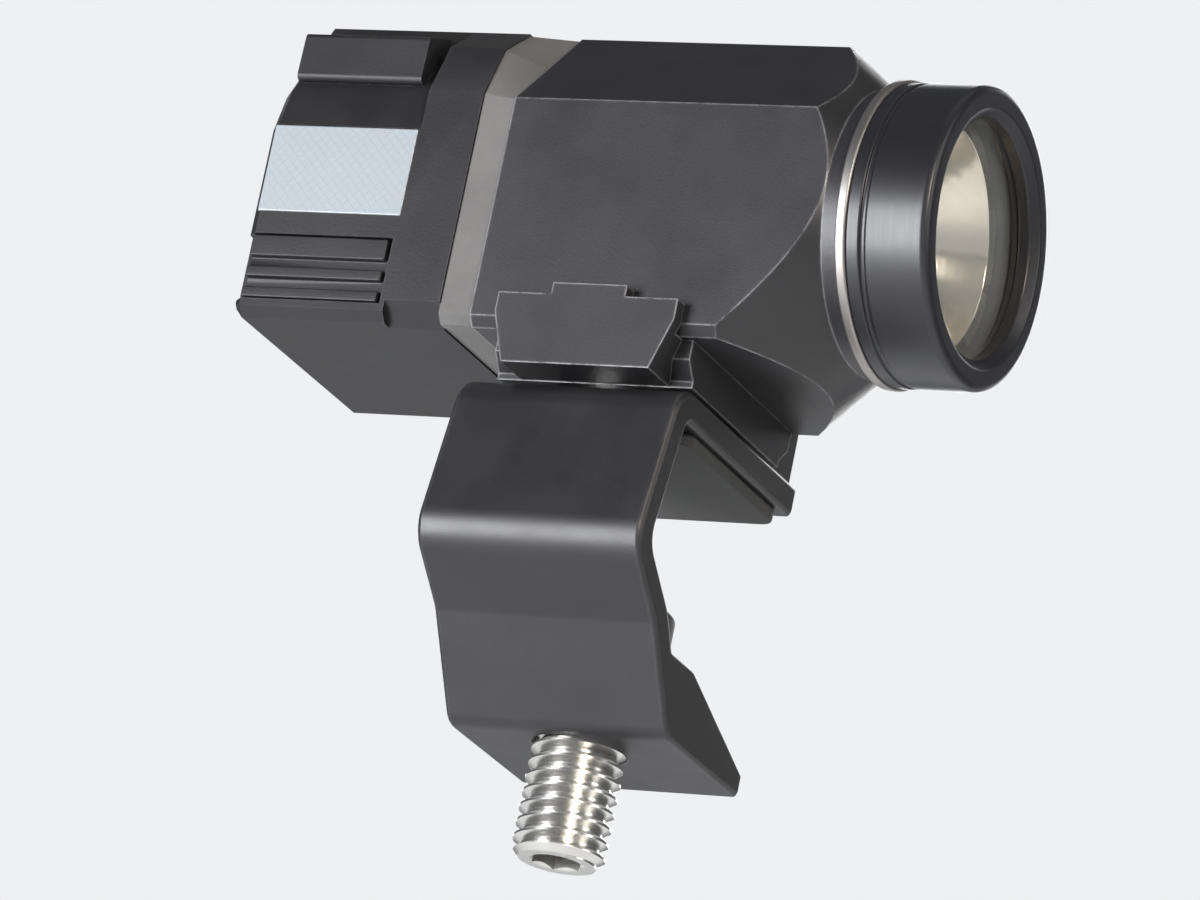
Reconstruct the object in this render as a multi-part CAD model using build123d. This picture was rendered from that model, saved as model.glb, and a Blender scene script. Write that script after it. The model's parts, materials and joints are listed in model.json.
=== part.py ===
from build123d import *
import math
import os

os.makedirs("parts", exist_ok=True)

# Helmet flashlight on a brim clamp. Millimetres, +X along the beam, +Z up.
# The origin is on the brim seat, under the axis on which the lamp swivels.

# ---------------------------------------------------------------- clearances
planar_gap = 0.1  # between faces that slide or part
turn_gap = 0.04  # radial, of a shaft that turns in its hole
sink_gap = 0.05  # radial, of a piece dropped in its bore

# ---------------------------------------------------------------- brim bracket
bracket_width = 28.5
plate = 3.6  # thickness of the bracket's arm, web and knee
pad_thick = 1.6
arm_end_y = 16.0
bend_y = -18.6  # outer corner between arm and web
ridge_y = -22.6
ridge_drop = 15.5  # of the ridge below the brim seat
fold_y = -13.6
fold_drop = 22.0  # of the outer fold between ridge and knee, below the brim seat
knee_y = -4.7
bracket_drop = 33.0  # of the bracket's underside below the brim seat
tip_y = 16.5
tip_thick = 2.8
boss_drop = 23.4  # of the threaded boss's flat below the brim seat
boss_y = -1.5
bend_radius = 4.5
ridge_radius = 5.0
fold_radius = 3.0
edge_break = 0.5
pad_inset = 1.2
pad_corner = 2.0

# ---------------------------------------------------------------- brim screw and pressure pad
screw_y = 2.0
screw_r = 5.52
thread_pitch = 1.814
thread_depth = 0.95
screw_length = 27.0
socket_flats = 5.56
socket_depth = 6.0
pad_drop = 15.5  # of the pressure pad's face below the brim seat
pressure_r = 8.0
pressure_thick = 4.0
ball_r = 1.9
ball_up = 1.7  # of the ball's centre above the pad's underside
neck_r = 1.3

# ---------------------------------------------------------------- swivel
stud_r = 6.0
washer_r = 10.0
washer_thick = 1.4
clip_r = 8.0
clip_thick = 0.9
clip_groove_r = 5.0

# ---------------------------------------------------------------- rail shoe and clamp
shoe_length = 25.0
shoe_half = 15.0
shoe_height = 5.2
shoe_upright = 2.4  # straight side above the bevel
shoe_bevel = 2.0
jaw_length = 23.0
jaw_tab_length = 9.5
jaw_tab_rise = 4.9  # of the tab's top above the shoe's top
jaw_shoulder_rise = 3.5
jaw_plate = 2.0
jaw_corner = 3.4
jaw_foot = 0.1  # of the jaw's foot above the shoe's underside
clamp_r = 2.0
clamp_drop = 2.35  # of the clamp screw's axis below the shoe's top
clamp_head_r = 4.0
clamp_head = 4.0
coin_slot = 1.6
coin_slot_depth = 1.8
guide_r = 1.0
guide_spread = 15.0
guide_rise = 2.7
guide_depth = 5.0

# ---------------------------------------------------------------- lamp body
front_x = 39.8
bezel_length = 10.2
ring_width = 1.3
neck_length = 2.2
neck_out_r = 16.9
cone_length = 11.0
cone_r = 25.5
body_rear_x = -15.7
half_width = 17.0
below_axis = 19.5
above_axis = 22.0
shoulder_rise = 9.0
top_half = 3.6
foot_break = 1.2
axis_z = pad_thick + plate + washer_thick + shoe_height + below_axis

# ---------------------------------------------------------------- head
bezel_r = 17.8
ring_r = 18.1
mouth_r = 14.0
rim_break = 1.0
lip_length = 2.4
lens_r = 15.3
lens_thick = 2.4
seal_r = 0.5
spigot_r = 15.4
flange_thick = 1.0
reflector_r = 13.4
reflector_depth = 13.8
reflector_wall = 0.8
eye_r = 3.4
board_r = 8.0
board_thick = 1.5
chip_side = 3.4
chip_thick = 0.8
dome_r = 1.4
sink_thick = 2.8
driver_r = 12.4
driver_thick = 1.2
driver_space = 2.2
cavity_r = 13.8
bulkhead = 1.4

# ---------------------------------------------------------------- cells
cell_r = 8.5
cell_length = 34.5
cell_button_r = 3.0
cell_button = 1.0
holder_wall = 0.7
cell_air = 0.2  # radial, around a cell
cell_lift = 0.5  # of the pair of cells above the lens axis
contact_strip = 0.7
contact_air = 0.3

# ---------------------------------------------------------------- tail
gasket_thick = 4.2
gasket_inset = 0.25
cover_length = 27.3
flange_length = 7.2
cover_wall = 1.6
back_wall = 2.0  # of the cover's rear half, sides and rear face
cover_foot_break = 2.6
cover_facet_rise = 4.4  # where the rear half's steep facet starts above the lens axis
cover_facet_in = 1.5
cover_shoulder_rise = 9.5
brow_in = 3.0  # of the cover's brow inside its side
brow_rise = 16.3
crown_in = 8.3
crown_drop = 1.6  # of the cover's top below the body's
bar_proud = 1.6  # of the shoulder bar's upper edge outside the brow
bar_low = 11.0  # of the shoulder bar's foot above the lens axis
bar_high = 16.8
bar_back = 2.1  # of the shoulder bar behind the flange
marker_front = 0.3  # of the marker behind the flange
marker_height = 11.0
marker_thick = 0.8
marker_low = 6.4  # of its lower edge below the lens axis
marker_back = 0.8
hinge_out = 2.3  # of the hinge's axis outside the housing's side
hinge_pin_r = 1.2
knuckle_r = 2.4
knuckle_length = 6.4
knuckle_low = 14.0  # of the hinge's foot below the lens axis
knuckle_air = 0.2
spring_space = 2.0
spring_wire = 0.45
spring_r = 3.2
tail_board = 1.2
tail_board_air = 1.2  # of the contact board inside the cover's side wall
latch_low = 17.2
latch_high = 9.4
latch_swing = 8.0  # degrees
latch_thick = 2.4
latch_pivot_back = 1.8  # of the latch pin behind the flange
latch_in = 3.9  # of the latch pin inside the cover's side
latch_rib = 0.8  # of the ribs outside the latch's plate
rib_width = 1.3
rib_gap = 1.3
latch_pin_r = 0.9
latch_hook = 2.0
hook_thick = 1.6
latch_air = 0.2
latch_ear = 2.6  # of the upper pin ear above the latch
rocker_half_y = 5.0
rocker_half_z = 7.6
rocker_proud = 1.5
rocker_depth = 4.2
rocker_air = 0.7
rocker_pin_r = 0.7
rocker_pin_in = 1.1  # of the rocker's pin inside the cover's rear face
keeper_gap = 0.9  # between the latch hook and the keeper it passes
post_y = 12.0

# ---------------------------------------------------------------- places worked out from the sizes
arm_top = pad_thick + plate
shoe_foot = arm_top + washer_thick
shoe_top = shoe_foot + shoe_height
neck_x = front_x - bezel_length - ring_width - neck_length
cone_x = neck_x - cone_length
lens_x = front_x - lip_length - 2 * seal_r
flange_x = lens_x - lens_thick
spigot_x = flange_x - flange_thick
board_x = flange_x - reflector_depth - flange_thick
sink_x = board_x - board_thick
cavity_x = sink_x - sink_thick - driver_space
strip_x = cavity_x - bulkhead
cell_x = strip_x - contact_strip - contact_air - cell_button
cell_rear_x = cell_x - cell_length
cell_spread = cell_r + cell_air
upper_z = axis_z + cell_lift + cell_spread
lower_z = axis_z + cell_lift - cell_spread
sleeve_in_r = cell_r + cell_air
sleeve_r = sleeve_in_r + holder_wall
cover_x = body_rear_x - gasket_thick
rear_x = cover_x - cover_length
flange_rear_x = cover_x - flange_length
marker_length = cover_length - flange_length - marker_back - marker_front
hinge_x = body_rear_x - gasket_thick / 2
hinge_y = half_width + hinge_out
tail_board_x = cell_rear_x - spring_space
clamp_z = shoe_top - clamp_drop
guide_z = shoe_top + guide_rise
latch_x = flange_rear_x - latch_pivot_back
latch_y = -(half_width - latch_in)
pad_x = rear_x + 0.6
hook_x = cover_x - 3.2 - hook_thick
rocker_pin_x = rear_x + rocker_pin_in
pad_travel = (latch_x - pad_x) * math.sin(math.radians(latch_swing))


def keep(shape, name):
    export_step(shape, f"parts/{name}.step")


def prism(points, x_from, x_to):
    """An outline of (y, z) points run along X."""
    face = Plane.YZ.offset(min(x_from, x_to)) * Polygon(*points, align=None)
    return extrude(face, amount=abs(x_to - x_from), dir=(1, 0, 0))


def block(low, high):
    size = [b - a for a, b in zip(low, high)]
    middle = [(a + b) / 2 for a, b in zip(low, high)]
    return Pos(*middle) * Box(*size)


def turned(points):
    """A profile of (x, radius) points turned about the lens axis."""
    return Pos(0, 0, axis_z) * revolve(Polygon(*points, align=None), axis=Axis.X)


def upright(points, x=0.0, y=0.0, z=0.0):
    """A profile of (radius, z) points turned about a vertical axis."""
    return Pos(x, y, z) * revolve(Plane.XZ * Polygon(*points, align=None), axis=Axis.Z)


def rod_z(radius, x, y, low, high):
    return Pos(x, y, (low + high) / 2) * Cylinder(radius, high - low)


def rod_x(radius, y, z, low, high):
    return Pos((low + high) / 2, y, z) * Rot(0, 90, 0) * Cylinder(radius, high - low)


def rod_y(radius, x, z, low, high):
    return Pos(x, (low + high) / 2, z) * Rot(90, 0, 0) * Cylinder(radius, high - low)


def offset_corner(before, corner, after, distance):
    """Where two lines through a corner meet once both are moved to their left."""
    lines = []
    for (ay, az), (by, bz) in ((before, corner), (corner, after)):
        length = math.hypot(by - ay, bz - az)
        normal = (-(bz - az) / length, (by - ay) / length)
        lines.append((normal, normal[0] * ay + normal[1] * az + distance))
    (n1, d1), (n2, d2) = lines
    scale = n1[0] * n2[1] - n1[1] * n2[0]
    return ((d1 * n2[1] - d2 * n1[1]) / scale, (n1[0] * d2 - n2[0] * d1) / scale)


def mirrored(near, inset):
    """A closed outline from its (y, z) points on one side, moved in by inset."""
    points = near + [(-y, z) for y, z in reversed(near)]
    after = points[1:] + points[:1]
    return [offset_corner(a, b, c, inset) for a, b, c in zip(points[-1:] + points, points, after)]


def foot_points(corner):
    foot = axis_z - below_axis
    return [(half_width - corner, foot), (half_width, foot + corner)]


def body_section(inset=0.0):
    near = foot_points(max(foot_break, inset))
    near.append((half_width, axis_z + shoulder_rise))
    near.append((top_half, axis_z + above_axis))
    return mirrored(near, inset)


def cover_section(inset=0.0, corner=foot_break, facet=False):
    """The cover's fuller outline. The facet slopes its side in from above the marker."""
    near = foot_points(max(corner, inset))
    if facet:
        near.append((half_width, axis_z + cover_facet_rise))
        near.append((half_width - cover_facet_in, axis_z + cover_shoulder_rise))
    else:
        near.append((half_width, axis_z + cover_shoulder_rise))
        near.append((half_width - brow_in, axis_z + brow_rise))
    near.append((half_width - crown_in, axis_z + above_axis - crown_drop))
    return mirrored(near, inset)


def stadium(radius, x_from, x_to):
    """The common outline of the two stacked cells, run along X."""
    start, end = sorted((x_from, x_to))
    upper = rod_x(radius, 0, upper_z, start, end)
    lower = rod_x(radius, 0, lower_z, start, end)
    return upper + lower + block((start, -radius, lower_z), (end, radius, upper_z))


def coil(radius, wire, pitch, turns):
    """An open coil spring that stands on z = 0, with its height as pitch times turns."""
    path = Helix(pitch=pitch, height=pitch * turns, radius=radius)
    start = Plane(origin=path @ 0, z_dir=path % 0)
    return sweep(start * Circle(wire / 2), path=path)


# ---------------------------------------------------------------- bracket with its threaded lower jaw
def brim_bracket():
    bend = (bend_y, arm_top)
    ridge = (ridge_y, -ridge_drop)
    fold = (fold_y, -fold_drop)
    knee = (knee_y, -bracket_drop)
    start = (arm_end_y, arm_top)
    tip_low = (tip_y, -bracket_drop)
    tip_high = (tip_y, tip_thick - bracket_drop)
    inner_bend = offset_corner(start, bend, ridge, plate)
    inner_ridge = offset_corner(bend, ridge, fold, plate)
    inner_fold = offset_corner(ridge, fold, knee, plate)
    knee_slope = (knee[1] - fold[1]) / (knee[0] - fold[0])
    boss_start = inner_fold[0] + (-boss_drop - inner_fold[1]) / knee_slope
    outline = [
        start,
        bend,
        ridge,
        fold,
        knee,
        tip_low,
        tip_high,
        (boss_y, -boss_drop),
        (boss_start, -boss_drop),
        inner_fold,
        inner_ridge,
        inner_bend,
        (arm_end_y, pad_thick),
    ]
    face = Polygon(*outline, align=None)
    rounds = (
        (bend, bend_radius),
        (inner_bend, bend_radius - plate + 0.6),
        (ridge, ridge_radius),
        (inner_ridge, fold_radius),
        (fold, fold_radius),
        (inner_fold, fold_radius),
        (knee, fold_radius),
    )
    for (y, z), radius in rounds:
        corner = face.vertices().sort_by_distance((y, z, 0))[0]
        face = fillet(corner, radius)
    arm = extrude(Plane.YZ.offset(-bracket_width / 2) * face, amount=bracket_width)
    ends = arm.faces().filter_by(Axis.X)
    arm = chamfer([edge for end in ends for edge in end.outer_wire().edges()], edge_break)
    arm -= rod_z(stud_r + turn_gap, 0, 0, 0, arm_top + 1)
    arm -= rod_z(clip_r + 0.4, 0, 0, 0, pad_thick + clip_thick + 0.4)
    arm -= rod_z(screw_r + turn_gap, 0, screw_y, -bracket_drop - 1, -boss_drop + 1)
    return arm


def upper_brim_pad():
    low = (pad_inset - bracket_width / 2, bend_y + plate + 2 * pad_inset, 0)
    high = (bracket_width / 2 - pad_inset, arm_end_y - pad_inset, pad_thick)
    pad = block(low, high)
    return fillet(pad.edges().filter_by(Axis.Z), pad_corner)


def swivel_washer():
    bore = stud_r + turn_gap
    points = [(bore, 0), (washer_r, 0), (washer_r, washer_thick), (bore, washer_thick)]
    return upright(points, z=arm_top)


# ---------------------------------------------------------------- pressure pad and its threaded screw
def pressure_pad():
    top = -pad_drop
    disc = rod_z(pressure_r, 0, screw_y, top - pressure_thick, top)
    disc = chamfer(disc.edges(), 0.4)
    ball_z = top - pressure_thick + ball_up
    disc -= Pos(0, screw_y, ball_z) * Sphere(ball_r + sink_gap)
    mouth = rod_z(ball_r * 0.8, 0, screw_y, top - pressure_thick - 1, ball_z)
    return disc - mouth


def brim_screw():
    ball_z = -pad_drop - pressure_thick + ball_up
    top = -pad_drop - pressure_thick - 2 * planar_gap
    foot = top - screw_length
    break_edge = thread_depth
    points = [(0, foot), (screw_r - break_edge, foot), (screw_r, foot + break_edge)]
    root = screw_r - thread_depth
    crest = 0.3
    z = foot + break_edge + crest
    while z + thread_pitch < top - break_edge:
        points.append((screw_r, z))
        points.append((root, z + (thread_pitch - crest) / 2))
        points.append((screw_r, z + thread_pitch - crest))
        z += thread_pitch
    points += [(screw_r, top - break_edge), (screw_r - break_edge, top), (0, top)]
    screw = upright(points, y=screw_y)
    neck = rod_z(neck_r, 0, screw_y, top - 1, ball_z)
    ball = Pos(0, screw_y, ball_z) * Sphere(ball_r)
    ball -= rod_z(2 * ball_r, 0, screw_y, ball_z - 2 * ball_r, top)
    screw = screw + neck + ball
    hexagon = RegularPolygon(socket_flats / 2, 6, major_radius=False)
    socket = extrude(Pos(0, screw_y, foot - 1) * hexagon, amount=socket_depth + 1)
    lead = Pos(0, screw_y, foot) * Cone(socket_flats / 2 + 0.6, socket_flats / 2, 0.7)
    return screw - socket - lead


# ---------------------------------------------------------------- rail shoe on its swivel stud
def rail_shoe():
    half = shoe_half
    upright_z = shoe_top - shoe_upright
    bevel_z = upright_z - shoe_bevel
    near = [(half - shoe_bevel, shoe_foot), (half - shoe_bevel, bevel_z), (half, upright_z)]
    near.append((half, shoe_top))
    outline = near + [(-y, z) for y, z in reversed(near)]
    shoe = prism(outline, -shoe_length / 2, shoe_length / 2)
    slot_half = clamp_r + planar_gap
    slot_low = clamp_z - slot_half
    shoe -= block((-slot_half, -half - 1, slot_low), (slot_half, half + 1, shoe_top + 1))
    stud_foot = pad_thick + planar_gap
    shoe += rod_z(stud_r, 0, 0, stud_foot, shoe_foot)
    groove_top = pad_thick + clip_thick + 0.35
    groove = rod_z(stud_r + 1, 0, 0, groove_top - clip_thick - 0.05, groove_top)
    groove -= rod_z(clip_groove_r, 0, 0, 0, groove_top + 1)
    return shoe - groove


def swivel_clip():
    high = pad_thick + clip_thick + 0.33
    ring = rod_z(clip_r, 0, 0, high - clip_thick, high)
    ring -= rod_z(clip_groove_r + sink_gap, 0, 0, 0, arm_top)
    return ring - block((0, -clip_groove_r * 0.6, 0), (clip_r + 1, clip_groove_r * 0.6, arm_top))


# ---------------------------------------------------------------- moving jaw on the near side
def jaw_outline(side, air):
    """The jaw's section as (y, z) points; side is -1 for the moving jaw and 1 for the fixed one."""
    outer = half_width + jaw_plate
    grip = shoe_half + air
    toe_z = shoe_foot + jaw_foot
    upright_z = shoe_top - shoe_upright - air
    toe_in = shoe_half - shoe_bevel + air
    toe_top = upright_z - (grip - toe_in)
    points = [
        (outer, shoe_top + jaw_tab_rise),
        (outer, toe_z),
        (toe_in, toe_z),
        (toe_in, toe_top),
        (grip, upright_z),
        (grip, shoe_top - air),
        (half_width + air, shoe_top - air),
        (half_width + air, shoe_top + jaw_tab_rise),
    ]
    return [(side * y, z) for y, z in points]


def clamp_jaw():
    half = jaw_length / 2
    jaw = prism(jaw_outline(-1, planar_gap / 2), -half, half)
    shoulder_z = shoe_top + jaw_shoulder_rise
    high = shoe_top + jaw_tab_rise + 1
    y_low = -half_width - jaw_plate - 1
    for side in (-1, 1):
        ends = sorted((side * jaw_tab_length / 2, side * (half + 1)))
        jaw -= block((ends[0], y_low, shoulder_z), (ends[1], -half_width + 1, high))
        foot_z = shoe_foot + jaw_foot
        corner = Polygon(
            (side * half, foot_z),
            (side * (half - jaw_corner * 0.6), foot_z),
            (side * half, foot_z + jaw_corner * 1.8),
            align=None,
        )
        jaw -= extrude(Plane.XZ.offset(-y_low) * corner, amount=-y_low, dir=(0, 1, 0))
    blind = rod_y(clamp_r + turn_gap, 0, clamp_z, -half_width - jaw_plate + 0.6, 0)
    jaw -= blind
    for side in (-1, 1):
        x = side * guide_spread / 2
        jaw -= rod_y(guide_r, x, guide_z, -half_width - jaw_plate + 0.5, -half_width + 1)
    return jaw


def jaw_guide_pins():
    """Two dowels pressed in the jaw that slide in the body's side wall."""
    low = -half_width - jaw_plate + 0.5
    pins = [
        rod_y(guide_r, side * guide_spread / 2, guide_z, low, -half_width + guide_depth)
        for side in (-1, 1)
    ]
    return Compound(children=pins)


def clamp_screw():
    """Cross screw with a coin-slotted head; its tip sits in the moving jaw."""
    seat = half_width + jaw_plate + planar_gap
    tip = -half_width - jaw_plate + 0.7
    shank = rod_y(clamp_r, 0, clamp_z, tip, seat + 0.5)
    head = rod_y(clamp_head_r, 0, clamp_z, seat, seat + clamp_head)
    head = chamfer(head.edges(), 0.5)
    slot_low = (-clamp_head_r - 1, seat + clamp_head - coin_slot_depth, clamp_z - coin_slot / 2)
    slot_high = (clamp_head_r + 1, seat + clamp_head + 1, clamp_z + coin_slot / 2)
    head -= block(slot_low, slot_high)
    for index in range(16):
        angle = math.radians(22.5 * index + 11.25)
        x = (clamp_head_r + 0.15) * math.cos(angle)
        z = (clamp_head_r + 0.15) * math.sin(angle)
        head -= rod_y(0.45, x, clamp_z + z, seat - 1, seat + clamp_head + 1)
    return shank + head


# ---------------------------------------------------------------- lamp body
def lamp_body():
    body = prism(body_section(), body_rear_x, neck_x)
    limit = [
        (body_rear_x - 1, 0),
        (neck_x, 0),
        (neck_x, neck_out_r),
        (cone_x, cone_r),
        (cone_x, cone_r + 8),
        (body_rear_x - 1, cone_r + 8),
    ]
    body &= turned(limit)
    body += turned([(neck_x - 1, 0), (neck_x - 1, neck_out_r), (neck_x + neck_length, neck_out_r),
                    (neck_x + neck_length, spigot_r), (spigot_x, spigot_r), (spigot_x, 0)])
    body -= turned([(cavity_x, 0), (cavity_x, cavity_r), (spigot_x + 1, cavity_r), (spigot_x + 1, 0)])
    body -= stadium(sleeve_r + sink_gap, body_rear_x - 1, strip_x)
    body -= rod_x(1.6, 0, axis_z, strip_x - 1, cavity_x + 1)
    half = jaw_length / 2
    body += prism(jaw_outline(1, 0.0), -half, half)
    body -= rod_y(clamp_r + 0.15, 0, clamp_z, 0, half_width + jaw_plate + 1)
    for side in (-1, 1):
        x = side * guide_spread / 2
        depth = -half_width + guide_depth + 0.5
        body -= rod_y(guide_r + turn_gap, x, guide_z, -half_width - 1, depth)
    low = axis_z - knuckle_low
    for start in (low, low + 2 * knuckle_length):
        body += knuckle(start, start + knuckle_length - knuckle_air, body_rear_x + 3)
    body -= rod_z(hinge_pin_r, hinge_x, hinge_y, low - 1, low + 4 * knuckle_length)
    return body


def knuckle(low, high, root_x):
    """One barrel of the hinge, with its web run to root_x against the housing's side."""
    barrel = rod_z(knuckle_r, hinge_x, hinge_y, low, high)
    x_low, x_high = sorted((hinge_x, root_x))
    web = block((x_low, half_width - 0.1, low), (x_high, hinge_y + knuckle_r * 0.6, high))
    keep_out = block((min(body_rear_x, cover_x), 0, low), (max(body_rear_x, cover_x), half_width, high))
    return (barrel + web) - keep_out


# ---------------------------------------------------------------- head and light source
def bezel():
    rear = front_x - bezel_length
    bore = spigot_r + 0.15
    points = [
        (front_x - rim_break, bezel_r),
        (front_x, bezel_r - rim_break),
        (front_x, mouth_r + 1.8),
        (front_x - 1.8, mouth_r),
        (front_x - lip_length, mouth_r),
        (front_x - lip_length, bore),
        (rear, bore),
        (rear, bezel_r),
    ]
    return turned(points)


def bezel_ring():
    front = front_x - bezel_length
    rear = front - ring_width
    inner = spigot_r + sink_gap
    return turned([(front, inner), (front, ring_r), (rear, ring_r), (rear, inner)])


def lens():
    front = lens_x - planar_gap / 2
    rear = flange_x
    dome = front - 0.4
    points = [(rear, 0), (front, 0), (front, mouth_r - 1), (dome, lens_r), (rear, lens_r)]
    return turned(points)


def ring_seal(x, radius, wire):
    return Pos(x, 0, axis_z) * Rot(0, 90, 0) * Torus(radius, wire)


def lens_seal():
    x = lens_x + seal_r
    return ring_seal(x, lens_r - 0.6, seal_r - 0.05)


def bowl(x_front, x_rear, radius_front, radius_rear):
    """Points on a parabola between two depths, from the front edge to the eye."""
    steps = 14
    points = []
    for step in range(steps + 1):
        radius = radius_front + (radius_rear - radius_front) * step / steps
        share = (radius_front**2 - radius**2) / (radius_front**2 - radius_rear**2)
        points.append((x_front - share * (x_front - x_rear), radius))
    return points


def reflector():
    front = flange_x
    rear = flange_x - reflector_depth
    inner = bowl(front, rear, reflector_r, eye_r)
    outer_front = cavity_r - 0.15
    outer = bowl(front - flange_thick, rear, reflector_r + reflector_wall - 0.6, eye_r + reflector_wall)
    flange_r = spigot_r - 0.1
    points = inner + list(reversed(outer))
    points += [(front - flange_thick, outer_front), (front - flange_thick, flange_r), (front, flange_r)]
    return turned(points)


def led_board():
    return rod_x(board_r, 0, axis_z, sink_x, board_x)


def led_emitter():
    half = chip_side / 2
    low = (board_x, -half, axis_z - half)
    chip = block(low, (board_x + chip_thick, half, axis_z + half))
    dome = Pos(board_x + chip_thick, 0, axis_z) * Sphere(dome_r)
    dome -= block((board_x - 5, -5, axis_z - 5), (board_x + chip_thick, 5, axis_z + 5))
    return chip + dome


def heat_sink():
    sink = rod_x(cavity_r - 0.03, 0, axis_z, sink_x - sink_thick, sink_x)
    return sink - rod_x(1.3, 4.5, axis_z, sink_x - sink_thick - 1, sink_x + 1)


def driver_board():
    rear = cavity_x + 0.4
    disc = rod_x(driver_r, 0, axis_z, rear, rear + driver_thick)
    chip = block((rear + driver_thick, -3, axis_z - 2.5), (rear + driver_thick + 0.5, 3, axis_z + 2.5))
    return disc + chip


# ---------------------------------------------------------------- cells, holder and contacts
def battery(z):
    can = rod_x(cell_r, 0, z, cell_rear_x, cell_x)
    can = fillet(can.edges(), 0.5)
    return can + rod_x(cell_button_r, 0, z, cell_x - 0.5, cell_x + cell_button)


def front_contacts():
    """Contact strip on the bulkhead with two raised buttons."""
    strip = stadium(sleeve_in_r - 1.2, strip_x - contact_strip, strip_x)
    back = strip_x - contact_strip
    for z in (upper_z, lower_z):
        strip += rod_x(cell_button_r, 0, z, back - contact_air, back)
    return strip


def cell_holder():
    rear = cell_rear_x + 2.0
    sleeve = stadium(sleeve_r, rear, strip_x)
    low_z = axis_z - latch_low + 0.4
    high_z = axis_z - latch_high - 0.4
    lip_y = latch_y + latch_hook + keeper_gap
    sleeve += block((hook_x - 1.6, lip_y, low_z), (hook_x - 0.2, -sleeve_in_r / 2, high_z))
    sleeve += block((hook_x - 1.6, lip_y + 1.5, low_z), (cover_x - 0.2, -sleeve_in_r / 2, high_z))
    return sleeve - stadium(sleeve_in_r, rear - 3, strip_x + 1)


# ---------------------------------------------------------------- gasket, tail cover and its hinge
def tail_gasket():
    """Soft ring that runs from the body's outline to the cover's fuller one."""
    front = body_section(gasket_inset)
    for index in (5, 3):
        (ay, az), (by, bz) = front[index - 1], front[index]
        front.insert(index, ((ay + by) / 2, (az + bz) / 2))
    outlines = ((cover_x, cover_section(gasket_inset)), (body_rear_x, front))
    faces = [Plane.YZ.offset(x) * Polygon(*points, align=None) for x, points in outlines]
    ring = loft(faces, ruled=True)
    return ring - stadium(sleeve_r + 0.3, cover_x - 1, body_rear_x + 1)


def hinge_pin():
    low = axis_z - knuckle_low
    pin = rod_z(hinge_pin_r - turn_gap, hinge_x, hinge_y, low, low + 3 * knuckle_length - knuckle_air)
    return pin


def shoulder_bar(side):
    """Bar that stands along the rear half's shoulder."""
    brow = half_width - brow_in
    crown = half_width - crown_in
    near = [
        (brow - 2.0, bar_low),
        (brow + bar_proud + 0.2, bar_low),
        (brow + bar_proud, bar_high),
        (crown + 1.0, above_axis - crown_drop - 1.4),
    ]
    corners = [(side * y, axis_z + rise) for y, rise in near]
    bar = prism(corners, rear_x + 1.5, flange_rear_x - bar_back)
    return fillet(bar.edges().filter_by(Axis.X), 0.7)


def tail_cover():
    cover = prism(cover_section(corner=cover_foot_break), flange_rear_x, cover_x)
    back = prism(cover_section(facet=True), rear_x, flange_rear_x)
    back = chamfer(back.faces().sort_by(Axis.X)[0].edges(), 1.2)
    cover += back
    for side in (-1, 1):
        cover += shoulder_bar(side)
    cavity = prism(cover_section(cover_wall), flange_rear_x, cover_x + 1)
    cavity += prism(cover_section(back_wall, facet=True), rear_x + back_wall, flange_rear_x)
    cover -= cavity
    for side in (-1, 1):
        cover -= marker_block(side, 0.0)
    low = axis_z - knuckle_low + knuckle_length
    cover += knuckle(low, low + knuckle_length - knuckle_air, cover_x - 3)
    pin_hole = rod_z(hinge_pin_r + turn_gap, hinge_x, hinge_y, low - 1, low + knuckle_length)
    cover -= pin_hole
    # window for the latch, with its two pin ears
    low_z = axis_z - latch_low
    high_z = axis_z - latch_high
    window_in = latch_rib + latch_thick + pad_travel + 0.5 - half_width
    window_low = (rear_x - 1, -half_width - 1, low_z - latch_air)
    window_high = (flange_rear_x - 0.6, window_in, high_z + latch_air)
    cover -= block(window_low, window_high)
    ear_y = latch_y + latch_pin_r + 1.2
    ear_low = (latch_x - 2.2, -half_width + 0.6, high_z + latch_air)
    cover += block(ear_low, (latch_x + 2.2, ear_y, high_z + latch_ear))
    cover -= rod_z(latch_pin_r, latch_x, latch_y, axis_z - below_axis + 0.6, high_z + latch_ear - 0.6)
    # window for the rocker switch
    half_y = rocker_half_y + 0.3
    half_z = rocker_half_z + 0.5
    cover -= block((rear_x - 1, -half_y, axis_z - half_z), (rear_x + 3, half_y, axis_z + half_z))
    cover -= rod_y(rocker_pin_r, rocker_pin_x, axis_z, -rocker_half_y - 2, rocker_half_y + 2)
    # posts that the contact board is screwed to
    for side in (-1, 1):
        post = rod_x(2.0, side * post_y, axis_z, rear_x + 1.5, tail_board_x - tail_board)
        post -= rod_x(0.9, side * post_y, axis_z, tail_board_x - tail_board - 5, tail_board_x)
        cover += post
    return cover


def marker_block(side, air):
    y_in = half_width - marker_thick
    ends = sorted((side * (y_in + air), side * half_width))
    low = (rear_x + marker_back + air, ends[0], axis_z - marker_low + air)
    high = (rear_x + marker_back + marker_length - air, ends[1], axis_z - marker_low + marker_height - air)
    return block(low, high)


def marker_panel(side):
    return marker_block(side, sink_gap / 2)


def contact_board():
    outline = cover_section(cover_wall + tail_board_air, facet=True)
    board = prism(outline, tail_board_x - tail_board, tail_board_x)
    for side in (-1, 1):
        board -= rod_x(1.1, side * post_y, axis_z, tail_board_x - tail_board - 1, tail_board_x + 1)
    window_low = (tail_board_x - tail_board - 1, -half_width, axis_z - below_axis)
    window_high = (tail_board_x + 1, latch_y + 3.4, axis_z - latch_high + 3)
    return board - block(window_low, window_high)


def contact_springs():
    springs = []
    turns = 3
    spring = coil(spring_r, spring_wire, (spring_space - 1.4 * spring_wire) / turns, turns)
    for z in (upper_z, lower_z):
        springs.append(Pos(tail_board_x + 0.6 * spring_wire, 0, z) * Rot(0, 90, 0) * spring)
    return Compound(children=springs)


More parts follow.
